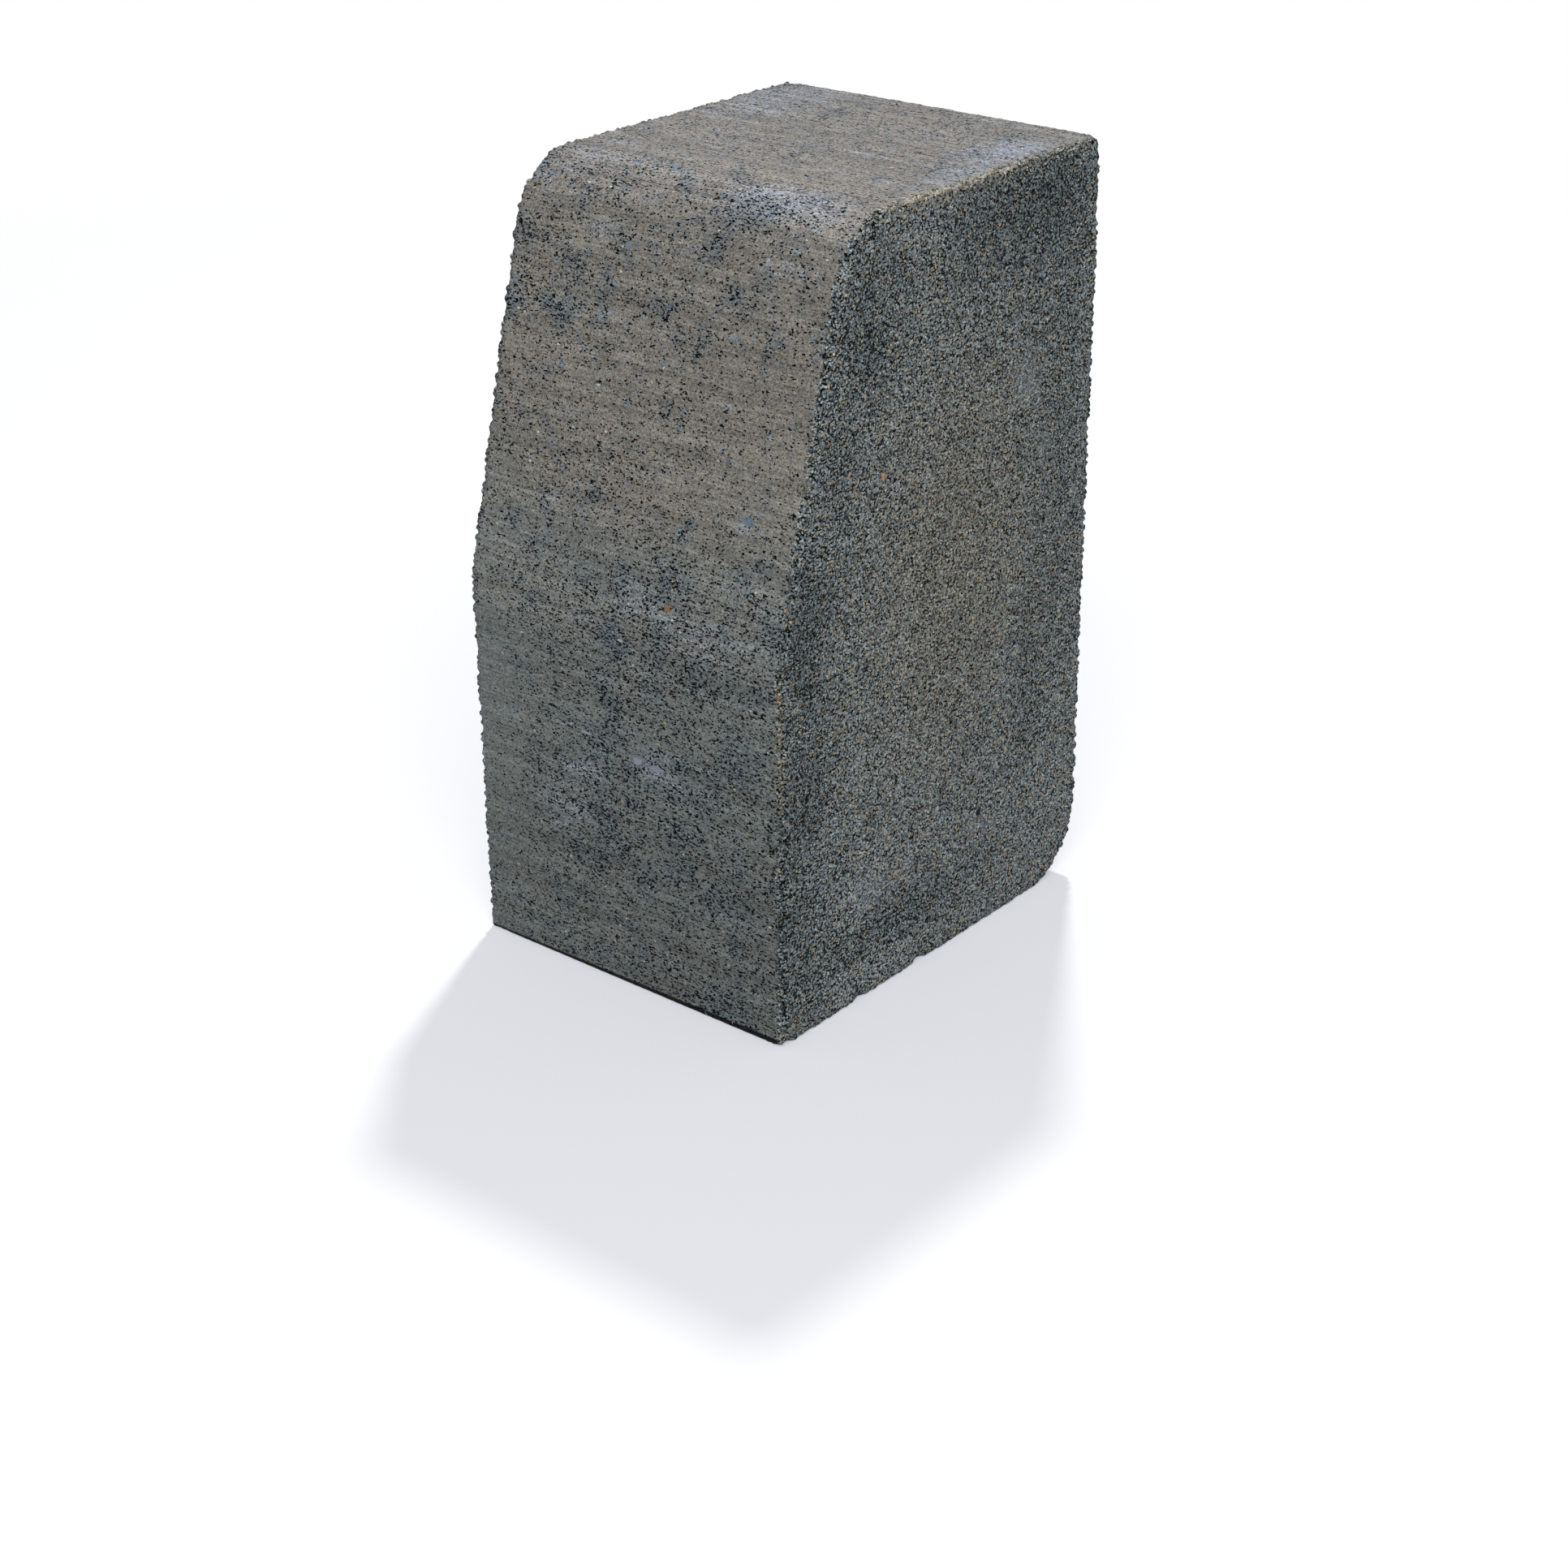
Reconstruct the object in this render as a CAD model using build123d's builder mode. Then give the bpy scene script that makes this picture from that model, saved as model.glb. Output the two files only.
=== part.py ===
from build123d import *
import os

# Concrete kerb block, half battered, standing on its bed as it is laid.
# X runs along the kerb line, -Y faces the road, Z is up.
# The origin is in the middle of the block's footprint, on the bed.

# Overall size
length = 100.0  # along the kerb line, between the two butting ends
depth = 125.0  # from the road face to the back
height = 200.0  # from the bed to the top

# Road face: upright below, leaning back above
upright_height = 100.0  # height of the upright part above the bed
batter_setback = 25.0  # how far the leaning part has gone back at the top

# Rounded edges that run along the block
road_top_radius = 20.0  # nose between the leaning road face and the top
back_bed_radius = 20.0  # bullnose, the road edge when the block is laid upside down
knee_radius = 20.0  # soft turn where the road face starts to lean

# Edges that the mould leaves almost square, eased by stripping and handling
arris_radius = 1.5

road_y = -depth / 2
back_y = depth / 2


with BuildPart() as kerb_block:
    # Section across the kerb line, drawn with sharp corners
    with BuildSketch(Plane.YZ) as section:
        with BuildLine():
            Polyline(
                (road_y, 0),
                (road_y, upright_height),
                (road_y + batter_setback, height),
                (back_y, height),
                (back_y, 0),
                close=True,
            )
        make_face()

        # Corners that the section rounds, found by their height, then front to back
        road_top = section.vertices().group_by(Axis.Y)[-1].sort_by(Axis.X)[0]
        fillet(road_top, radius=road_top_radius)
        back_bed = section.vertices().group_by(Axis.Y)[0].sort_by(Axis.X)[-1]
        fillet(back_bed, radius=back_bed_radius)
        knee = section.vertices().sort_by_distance((road_y, upright_height))[0]
        fillet(knee, radius=knee_radius)

    # Pressed along the kerb line, so the section is the same from end to end
    extrude(amount=length / 2, both=True)

    # Arrises: the outline of both ends, the back top edge and the road bed edge
    end_arrises = kerb_block.faces().filter_by(Axis.X).edges()
    long_edges = kerb_block.edges().filter_by(Axis.X)
    back_top_arris = long_edges.group_by(Axis.Z)[-1].sort_by(Axis.Y)[-1]
    road_bed_arris = long_edges.group_by(Axis.Z)[0].sort_by(Axis.Y)[0]
    fillet(end_arrises + [back_top_arris, road_bed_arris], radius=arris_radius)

kerb_block.part.label = "kerb_block"

os.makedirs("parts", exist_ok=True)
export_step(kerb_block.part, "parts/kerb_block.step")

print(f"kerb_block: {kerb_block.part.volume / 1e6:.3f} litres")
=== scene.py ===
"""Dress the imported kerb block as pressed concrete, on a pale floor, in the photograph's view."""

import logging
import math
from dataclasses import dataclass, field
from enum import Enum
from functools import partial
from typing import Any, Callable, Mapping, Optional, Union

import bmesh
import bpy
import numpy as np
from mathutils import Euler, Matrix, Vector


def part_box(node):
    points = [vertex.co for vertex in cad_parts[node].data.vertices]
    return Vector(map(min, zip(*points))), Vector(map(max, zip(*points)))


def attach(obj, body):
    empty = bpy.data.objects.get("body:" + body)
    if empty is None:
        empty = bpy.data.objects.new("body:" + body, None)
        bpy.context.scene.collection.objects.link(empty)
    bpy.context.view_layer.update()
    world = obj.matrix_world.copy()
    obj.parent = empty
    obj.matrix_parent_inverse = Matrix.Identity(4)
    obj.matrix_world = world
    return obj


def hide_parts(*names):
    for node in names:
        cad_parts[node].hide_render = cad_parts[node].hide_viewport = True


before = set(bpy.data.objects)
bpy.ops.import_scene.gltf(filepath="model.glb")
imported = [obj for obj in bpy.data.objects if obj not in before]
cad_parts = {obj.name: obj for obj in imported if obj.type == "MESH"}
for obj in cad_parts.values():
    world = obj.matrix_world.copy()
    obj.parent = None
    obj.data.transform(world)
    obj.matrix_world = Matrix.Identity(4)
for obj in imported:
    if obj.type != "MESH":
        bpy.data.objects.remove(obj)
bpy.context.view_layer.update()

LOG = logging.getLogger("kerb")
MM = 0.001
MM_PER_M = 1000.0

# Blender's names for the types of node that are used most
MATH, VECTOR, RANGE = "ShaderNodeMath", "ShaderNodeVectorMath", "ShaderNodeMapRange"
MIX, NOISE, CELLS = "ShaderNodeMix", "ShaderNodeTexNoise", "ShaderNodeTexVoronoi"
PART = "ShaderNodeSeparateXYZ"
# Sockets of the Mix node for colours and for numbers, and those of the Map Range node after its value
SHARE, UNDER, OVER = 0, 6, 7
FIRST, SECOND = 2, 3
LOW, HIGH, TO_LOW, TO_HIGH = 1, 2, 3, 4
# Settings of the Mix node that lay one colour over another, or stain it as a filter does
COLOURS = {"out": 2, "data_type": "RGBA"}
STAIN = {**COLOURS, "blend_type": "MULTIPLY"}
# Settings of the Math nodes that multiply, or multiply and then add
TIMES = {"operation": "MULTIPLY"}
TIMES_PLUS = {"operation": "MULTIPLY_ADD"}
# A soft step of the Map Range node, and the part of its range that a noise mostly stays in
SOFT = {"interpolation_type": "SMOOTHSTEP"}
USUAL = {LOW: 0.3, HIGH: 0.7}

Object = bpy.types.Object
Socket = bpy.types.NodeSocket
Tree = bpy.types.NodeTree
Span = tuple[float, float]
Triple = tuple[float, float, float]
Colour = tuple[float, float, float, float]
WHITE: Colour = (1.0, 1.0, 1.0, 1.0)
BLACK: Colour = (0.0, 0.0, 0.0, 1.0)


def linear(hex_code: str) -> Colour:
    """Turn an sRGB hex colour into linear values with full alpha.

    Args:
        hex_code: Colour written as "#rrggbb".

    Returns:
        Red, green, blue and alpha, linear, from 0 to 1.
    """
    parts = [int(hex_code[i:i + 2], 16) / 255.0 for i in (1, 3, 5)]
    r, g, b = (c / 12.92 if c <= 0.04045 else ((c + 0.055) / 1.055) ** 2.4 for c in parts)
    return r, g, b, 1.0


def add_node(
    tree: Tree,
    kind: str,
    inputs: Optional[Mapping[Union[int, str], Any]] = None,
    out: Union[int, str] = 0,
    **settings: Any,
) -> Socket:
    """Add a node with its settings, and link or set its inputs.

    Args:
        tree: Shader or geometry tree that gets the node.
        kind: Blender's name for the type of node.
        inputs: Socket name or number, to a socket to link or a value to set.
        out: Name or number of the output to hand back.
        **settings: Properties of the node itself.

    Returns:
        The node's chosen output, or the node's first input where it has no output.
    """
    node = tree.nodes.new(kind)
    for name, value in settings.items():
        setattr(node, name, value)
    for key, value in (inputs or {}).items():
        if isinstance(value, Socket):
            tree.links.new(value, node.inputs[key])
        else:
            node.inputs[key].default_value = value
    return node.outputs[out] if len(node.outputs) else node.inputs[0]


def work_on(obj: Object) -> None:
    """Deselect everything, then select one object and make it active.

    Args:
        obj: Object that the next operators act on.
    """
    bpy.ops.object.select_all(action="DESELECT")
    obj.select_set(True)
    bpy.context.view_layer.objects.active = obj


def select_edges(obj: Object, test: Callable[[Vector, Vector], bool]) -> None:
    """Select, in edit mode, the edges whose two ends pass a test.

    Args:
        obj: Mesh object that is in edit mode.
        test: Takes the places of an edge's ends and says whether it is wanted.
    """
    bpy.ops.mesh.select_all(action="DESELECT")
    bm = bmesh.from_edit_mesh(obj.data)
    for edge in bm.edges:
        edge.select_set(test(edge.verts[0].co, edge.verts[1].co))
    bmesh.update_edit_mesh(obj.data)


class Film(Enum):
    """What lies on or in the skin of the concrete, as a point attribute of the mesh."""

    LAITANCE = "laitance"
    TORN = "torn"
    SAND = "sand"


class Mark(Enum):
    """What the wear leaves for the finish to read, as a point attribute of the mesh."""

    WEAR = "wear"
    ARRIS = "arris"


class LampShape(Enum):
    """Blender's names for the shapes of the lamps."""

    ROUND = "DISK"
    PANEL = "SQUARE"


@dataclass(frozen=True)
class Patch:
    """A soft-edged area of a film, in millimetres from the frame's origin.

    Attributes:
        centre: Middle of the patch.
        reach: Half sizes along X, Y and Z at which it has faded to about a third.
        strength: How strong it is in its middle, where 1 is full and below 0 keeps the film off.
    """

    centre: Triple
    reach: Triple
    strength: float


@dataclass(frozen=True)
class Chip:
    """A place where the arris has broken off, in millimetres.

    Attributes:
        centre: Middle of the break.
        reach: Radius of the break.
        depth: How far the surface has gone back in the middle.
    """

    centre: Triple
    reach: float
    depth: float


@dataclass(frozen=True)
class Pebble:
    """One stone or fleck that can be told apart in the surface, in millimetres.

    Attributes:
        centre: Middle of the stone.
        half: Half sizes along X, Y and Z.
        hue: Its sRGB colour.
    """

    centre: Triple
    half: Triple
    hue: str


@dataclass(frozen=True)
class Section:
    """Sizes of the block's section in metres, as in the solid, but for arrises that wear will ease."""

    upright_height: float = 100.0 * MM
    batter_setback: float = 25.0 * MM
    nose_radius: float = 20.0 * MM
    bullnose_radius: float = 20.0 * MM
    knee_radius: float = 20.0 * MM
    arris_radius: float = 0.8 * MM
    round_steps: int = 24
    knee_steps: int = 6
    arris_steps: int = 4

    @staticmethod
    def run_in(radius: float, turn: float) -> float:
        """How far from a corner that turns by an angle an arc of this radius starts."""
        return radius * math.tan(turn / 2)


@dataclass(frozen=True)
class Ground:
    """Patterns that the skin and the open grain share, as sockets of one tree.

    Attributes:
        tree: Tree of the material.
        place: Place on the block in millimetres, shaken so that no cell has a straight edge.
        pulled: The same, pressed together along the kerb line.
        nudged: The same, pressed together a little, for pits.
        dragged: The same, pressed together most, for streaks.
        lying: The same, pressed together across the end, for grains that lie flat.
        wash: Broad noise, for the tone.
        blot: Middling noise, for the patches.
        flour: Tone of each speck of the fines.
        tint: Hue of each speck of the fines.
        marks: Amount of each film and mark.
    """

    tree: Tree
    place: Socket
    pulled: Socket
    nudged: Socket
    dragged: Socket
    lying: Socket
    wash: Socket
    blot: Socket
    flour: Socket
    tint: Socket
    marks: Mapping[Enum, Socket]


@dataclass(frozen=True)
class PressedConcrete:
    """Dry-pressed grey concrete, with the skin of the mould and the open grain of the ends.

    The long faces were dragged along the mould as the block was pushed out. That smeared a thin
    skin of fines over them, warm high up and cool low down, and tore it into short pits and faint
    streaks along the kerb line, whose hollows are painted in shade. Lime left pale films on it, specks
    of cement show blue, the top takes a painted cool light, and a painted contact shadow darkens its
    foot. The two ends were left as tamped and show the sand itself: grains, gaps painted in shade and a
    few warm stones. A sandy crust clings to some arrises, and on the top's near arris it is partly a
    painted highlight.
    """

    name: str = "dry_pressed_concrete"

    # Colours of the skin and of what lies on it
    skin_high: str = "#9d978d"
    skin_low: str = "#8f9490"
    torn: str = "#74838e"
    # Painted shade in the pits, too small for the mesh
    shaded_pit: str = "#020303"
    laitance: str = "#b4bdc9"
    # Painted cool light that tints the top
    top_light_tint: str = "#f9f9fe"
    fleck: str = "#8194a6"
    # Painted contact shadow along the foot of the road face
    foot_shadow: str = "#0c0d0e"
    sand_tan: str = "#b3a58e"
    # Colours of the arrises
    arris_darkening: str = "#e2e5e5"
    # Sandy crust, partly a painted highlight along the top's near arris
    crust_and_highlight: str = "#e6dac4"
    # Colours of the open grain and of what lies on it
    grain_light: str = "#dfe9ee"
    grain_dark: str = "#404f56"
    grain_tan: str = "#e2c79c"
    stone_warm: str = "#f0d4a0"
    stone_pale: str = "#fbf7ec"
    # Painted shade in the gaps between the grains
    shaded_gap: str = "#030404"
    gloom: str = "#899da4"
    dust: str = "#9f9377"

    # Sizes of the patterns, in millimetres. Cement fines are under 0.1 mm, too fine to show, so the
    # flour, the specks and the small pits are drawn about as wide as a pixel of the picture
    wash_mm: float = 30.0
    blot_mm: float = 10.0
    smear_mm: float = 4.5
    edge_mm: float = 4.0
    band_mm: float = 3.0
    fleck_mm: float = 2.4
    hole_mm: float = 0.7
    crumb_mm: float = 0.5
    streak_mm: float = 0.5
    grain_mm: float = 0.5
    pit_mm: float = 0.4
    speck_mm: float = 0.31
    flour_mm: float = 0.3

    # How many times longer than wide a pattern is drawn
    pull: float = 3.4
    nudge: float = 1.7
    streak_pull: float = 22.0
    lie: float = 1.25

    # Places on the block and depths of the relief, in millimetres
    shake: Triple = (0.5, 0.25, 0.25)
    warm_heights: Span = (135.0, 192.0)
    warm_wander: float = 90.0
    # Heights of the painted cool light on the top
    top_light_heights: Span = (190.0, 199.0)
    # Heights and lean of the painted contact shadow at the foot
    foot_shadow_heights: Span = (1.5, 1.9)
    foot_shadow_lean: Triple = (-0.009, 0.0, 1.0)
    foot_rise: float = 250.0
    end_from: Span = (51.6, 52.4)
    end_wander: float = 6.0
    end_wear: float = 1.2
    pit_depth: float = 0.2
    gap_depth: float = 0.5
    streak_depth: float = 0.06
    fines_depth: float = 0.03

    # How much a film counts, how much of a colour shows, and the chances above which a stone shows
    torn_weight: float = 0.2
    torn_share: float = 0.7
    fleck_weight: float = 0.08
    dust_share: float = 0.45
    tan_chance: float = 0.86
    tan_share: float = 0.6
    skin_stones: Span = (0.9984, 0.9993)
    end_stones: Span = (0.98, 0.992)
    stone_weight: float = 0.02
    pebble_edge: Span = (0.8, 1.2)
    pebble_share: float = 0.9

    # Smeared fines take a faint sheen, torn and sandy parts none
    rough_skin: float = 0.58
    rough_pit: float = 0.95
    rough_grain: float = 0.8
    specular: float = 0.14

    # On the upright face, on the leaning face, on the near arris and on the near end
    pebbles: tuple[Pebble, ...] = (
        Pebble((14.7, -60.8, 106.7), (0.9, 2.0, 0.8), "#b58a52"),
        Pebble((0.6, -62.5, 95.3), (1.0, 2.0, 0.3), "#f4efe2"),
        Pebble((-11.8, -62.5, 67.4), (1.9, 2.0, 0.4), "#c4cdd8"),
        Pebble((5.0, -62.5, 64.5), (1.3, 2.0, 1.0), "#bac4d6"),
        Pebble((11.3, -62.5, 64.3), (1.9, 2.0, 0.9), "#b0bacb"),
        Pebble((35.0, -54.8, 131.2), (1.5, 4.0, 1.0), "#7f9bab"),
        Pebble((-11.9, -41.3, 184.8), (0.8, 4.0, 0.6), "#8fa5c4"),
        Pebble((49.8, -62.5, 93.5), (0.7, 0.7, 0.6), "#e07a2c"),
        Pebble((49.0, -62.5, 90.6), (0.5, 1.0, 0.5), "#d8d4c8"),
        Pebble((50.0, -37.1, 140.6), (2.0, 0.6, 0.5), "#f5b78c"),
        Pebble((50.0, -24.0, 137.1), (2.0, 0.8, 0.9), "#ffc8a0"),
        Pebble((50.0, 17.4, 33.5), (2.0, 1.2, 0.9), "#060707"),
    )

    def build(self) -> bpy.types.Material:
        """Make the material.

        Returns:
            The new material, for an object whose coordinates are metres in the block's frame.
        """
        material = bpy.data.materials.new(self.name)
        material.use_nodes = True
        tree = material.node_tree
        tree.nodes.clear()
        add = partial(add_node, tree)
        on = self._ground(tree)
        skin, skin_relief, shaded_pit = self._skin(on)
        grain, grain_relief = self._open_grain(on)
        end = self._end_mask(on)
        colour = add(MIX, {SHARE: end, UNDER: skin, OVER: grain}, **COLOURS)
        colour = self._on_arrises(on, self._with_pebbles(on, colour))
        relief = add(MIX, {SHARE: end, FIRST: skin_relief, SECOND: grain_relief}, data_type="FLOAT")
        bump = add("ShaderNodeBump", {"Height": relief, "Distance": MM, "Strength": 1.0})
        rough = add(RANGE, {0: shaded_pit, TO_LOW: self.rough_skin, TO_HIGH: self.rough_pit})
        rough = add(MIX, {SHARE: end, FIRST: rough, SECOND: self.rough_grain}, data_type="FLOAT")
        surface = add("ShaderNodeBsdfPrincipled", {
            "Base Color": colour, "Roughness": rough, "Normal": bump, "Specular IOR Level": self.specular,
        })
        add("ShaderNodeOutputMaterial", {"Surface": surface})
        return material

    def _ground(self, tree: Tree) -> Ground:
        """Lay out the patterns that the skin and the open grain share.

        Args:
            tree: Tree of the material.

        Returns:
            The shared patterns.
        """
        add = partial(add_node, tree)
        # Place on the block in millimetres, so that each scale is one over a real size
        metres = add("ShaderNodeTexCoord", out="Object")
        place = add(VECTOR, {0: metres, "Scale": MM_PER_M}, operation="SCALE")
        crumbs = add(NOISE, {"Vector": place, "Scale": 1 / self.crumb_mm, "Detail": 0.0}, out="Color")
        place = add(VECTOR, {0: crumbs, 1: self.shake, 2: place}, **TIMES_PLUS)
        pulled, nudged, dragged, lying = (
            add(VECTOR, {0: place, 1: squeeze}, **TIMES)
            for squeeze in (
                (1 / self.pull, 1.0, 1.0), (1 / self.nudge, 1.0, 1.0),
                (1 / self.streak_pull, 1.0, 1.0), (1.0, 1 / self.lie, 1.0),
            )
        )
        wash = add(NOISE, {"Vector": pulled, "Scale": 1 / self.wash_mm, "Detail": 3.0, "Roughness": 0.6})
        blot = add(NOISE, {
            "Vector": place, "Scale": 1 / self.blot_mm, "Detail": 3.0, "Roughness": 0.6, "Distortion": 0.5,
        })
        fines = add(CELLS, {"Vector": place, "Scale": 1 / self.flour_mm}, out="Color")
        flour, tint = (add(PART, {0: fines}, out=part) for part in "XY")
        marks = {
            mark: add("ShaderNodeAttribute", out="Fac", attribute_name=mark.value)
            for mark in (*Film, *Mark)
        }
        return Ground(tree, place, pulled, nudged, dragged, lying, wash, blot, flour, tint, marks)

    def _end_mask(self, on: Ground) -> Socket:
        """Find where the open grain shows: on the ends and wherever the arris broke.

        Args:
            on: The shared patterns.

        Returns:
            Share of open grain, 0 on the skin and 1 on the ends.
        """
        add = partial(add_node, on.tree)
        line = add(MATH, {0: add(PART, {0: on.place}, out="X")}, operation="ABSOLUTE")
        ragged = add(NOISE, {
            "Vector": on.place, "Scale": 1 / self.edge_mm, "Detail": 4.0, "Roughness": 0.85,
        })
        for source, reach in ((ragged, self.end_wander), (on.marks[Mark.WEAR], self.end_wear)):
            line = add(MATH, {0: source, 1: reach, 2: line}, **TIMES_PLUS)
        start, full = self.end_from
        return add(RANGE, {0: line, LOW: start, HIGH: full}, **SOFT)

    def _with_pebbles(self, on: Ground, colour: Socket) -> Socket:
        """Set the single stones and flecks into the surface.

        Args:
            on: The shared patterns.
            colour: Colour of the surface without them.

        Returns:
            Colour of the surface with them.
        """
        add = partial(add_node, on.tree)
        inner, outer = self.pebble_edge
        for pebble in self.pebbles:
            away = add(VECTOR, {0: on.place, 1: pebble.centre}, operation="SUBTRACT")
            away = add(VECTOR, {0: away, 1: pebble.half}, operation="DIVIDE")
            away = add(VECTOR, {0: away}, out="Value", operation="LENGTH")
            share = add(RANGE, {
                0: away, LOW: inner, HIGH: outer, TO_LOW: self.pebble_share, TO_HIGH: 0.0,
            })
            colour = add(MIX, {SHARE: share, UNDER: colour, OVER: linear(pebble.hue)}, **COLOURS)
        return colour

    def _on_arrises(self, on: Ground, colour: Socket) -> Socket:
        """Darken the arrises, and lay on sandy ones a light crust, partly a painted highlight.

        Args:
            on: The shared patterns.
            colour: Colour of the surface without them.

        Returns:
            Colour of the surface with them.
        """
        add = partial(add_node, on.tree)
        sand, arris = on.marks[Film.SAND], on.marks[Mark.ARRIS]
        clean = add(MATH, {0: 1.0, 1: sand}, operation="SUBTRACT", use_clamp=True)
        # Darker along the arrises, except where the sand lies
        darkened = add(MATH, {0: clean, 1: arris}, **TIMES)
        # Light crust where sand meets an arris, partly a painted highlight on the top's near arris
        crust_and_highlight = add(MATH, {0: sand, 1: arris}, **TIMES)
        crust_and_highlight = add(MATH, {0: crust_and_highlight, 1: on.tint}, **TIMES)
        crust_and_highlight = add(RANGE, {0: crust_and_highlight, LOW: 0.45, HIGH: 0.6, TO_HIGH: 0.8})
        for share, hue, blend in ((darkened, self.arris_darkening, STAIN), (crust_and_highlight, self.crust_and_highlight, COLOURS)):
            colour = add(MIX, {SHARE: share, UNDER: colour, OVER: linear(hue)}, **blend)
        return colour

    def _skin(self, on: Ground) -> tuple[Socket, Socket, Socket]:
        """Draw the mould skin: warm and pale high up, cool and dark low down, torn in patches.

        Args:
            on: The shared patterns.

        Returns:
            Colour, relief in millimetres, and the share of pit.
        """
        add = partial(add_node, on.tree)
        height = add(PART, {0: on.place}, out="Z")
        rise = add(MATH, {0: on.wash, 1: self.warm_wander, 2: height}, **TIMES_PLUS)
        start, full = self.warm_heights
        high = add(RANGE, {0: rise, LOW: start, HIGH: full}, **SOFT)
        torn = add(MATH, {0: on.marks[Film.TORN], 1: self.torn_weight, 2: on.blot}, **TIMES_PLUS)
        torn = add(RANGE, {0: torn, LOW: 0.5, HIGH: 0.72})
        torn_share = add(MATH, {0: torn, 1: self.torn_share}, **TIMES)
        chance = add(CELLS, {"Vector": on.nudged, "Scale": 1 / self.pit_mm}, out="Color")
        fine, hollow, lucky = (add(PART, {0: chance}, out=part) for part in "XYZ")

        # Pale films, broken up by the surface
        smear = add(NOISE, {
            "Vector": on.pulled, "Scale": 1 / self.smear_mm, "Detail": 4.0, "Roughness": 0.65,
            "Distortion": 0.8,
        })
        smear = add(RANGE, {0: smear, LOW: 0.55, HIGH: 0.7, TO_HIGH: 0.5})
        lime = add(MATH, {0: on.marks[Film.LAITANCE], 1: smear}, operation="ADD")
        lime, sand = (
            add(RANGE, {
                0: add(MATH, {0: fine, 1: film}, **TIMES), LOW: 0.1, HIGH: 0.6, TO_HIGH: 0.9,
            })
            for film in (lime, on.marks[Film.SAND])
        )

        # Some of the fines are cement, cooler than the sand dust, and gather in bluish flecks
        cool = add(RANGE, {0: on.tint, LOW: 0.55, HIGH: 0.7, TO_HIGH: 0.4})
        knots = add(NOISE, {
            "Vector": on.place, "Scale": 1 / self.fleck_mm, "Detail": 1.0, "Roughness": 0.6,
        })
        fleck = add(MATH, {0: high, 1: self.fleck_weight, 2: knots}, **TIMES_PLUS)
        fleck = add(RANGE, {0: fleck, LOW: 0.73, HIGH: 0.79, TO_HIGH: 0.7})
        skin: Union[Socket, Colour] = linear(self.skin_low)
        for share, hue in (
            (high, self.skin_high), (torn_share, self.torn), (lime, self.laitance),
            (sand, self.sand_tan), (cool, self.torn), (fleck, self.fleck),
        ):
            skin = add(MIX, {SHARE: share, UNDER: skin, OVER: linear(hue)}, **COLOURS)

        # Broad washes, drag streaks along the kerb line, the unevenness of the fines, a darker foot
        band, streak = (
            add(NOISE, {"Vector": on.dragged, "Scale": 1 / size, "Detail": 2.0, "Roughness": 0.55})
            for size in (self.band_mm, self.streak_mm)
        )
        foot = add(MATH, {0: height, 1: 1 / self.foot_rise, 2: USUAL[LOW]}, **TIMES_PLUS)
        for noise, dark, light in (
            (on.wash, 0.95, 1.05), (band, 0.82, 1.18), (streak, 0.73, 1.27), (on.flour, 0.7, 1.43),
            (foot, 0.9, 1.05),
        ):
            tone = add(RANGE, {0: noise, **USUAL, TO_LOW: dark, TO_HIGH: light})
            skin = add(MIX, {SHARE: 1.0, UNDER: skin, OVER: tone}, **STAIN)

        # Painted cool light on the top, and a painted contact shadow as a dark line at the foot
        start, full = self.top_light_heights
        upper = add(RANGE, {0: height, LOW: start, HIGH: full}, **SOFT)
        lower = add(VECTOR, {0: on.place, 1: self.foot_shadow_lean}, out="Value", operation="DOT_PRODUCT")
        full, gone = self.foot_shadow_heights
        lower = add(RANGE, {0: lower, LOW: full, HIGH: gone, TO_LOW: 1.0, TO_HIGH: 0.0})
        for share, hue in ((upper, self.top_light_tint), (lower, self.foot_shadow)):
            skin = add(MIX, {SHARE: share, UNDER: skin, OVER: linear(hue)}, **STAIN)

        # Pits painted in shade, and here and there a grain that shines out
        shaded_pit = self._pits(on, high, torn, knots, hollow)
        tan, pale = (add(MATH, {0: lucky, 1: least}, operation="GREATER_THAN") for least in self.skin_stones)
        for share, hue in ((shaded_pit, self.shaded_pit), (tan, self.grain_tan), (pale, self.stone_pale)):
            skin = add(MIX, {SHARE: share, UNDER: skin, OVER: linear(hue)}, **COLOURS)
        relief: Union[Socket, float] = 0.0
        for pattern, depth in (
            (shaded_pit, -self.pit_depth), (streak, self.streak_depth), (fine, self.fines_depth),
        ):
            relief = add(MATH, {0: pattern, 1: depth, 2: relief}, **TIMES_PLUS)
        return skin, relief, shaded_pit

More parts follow.
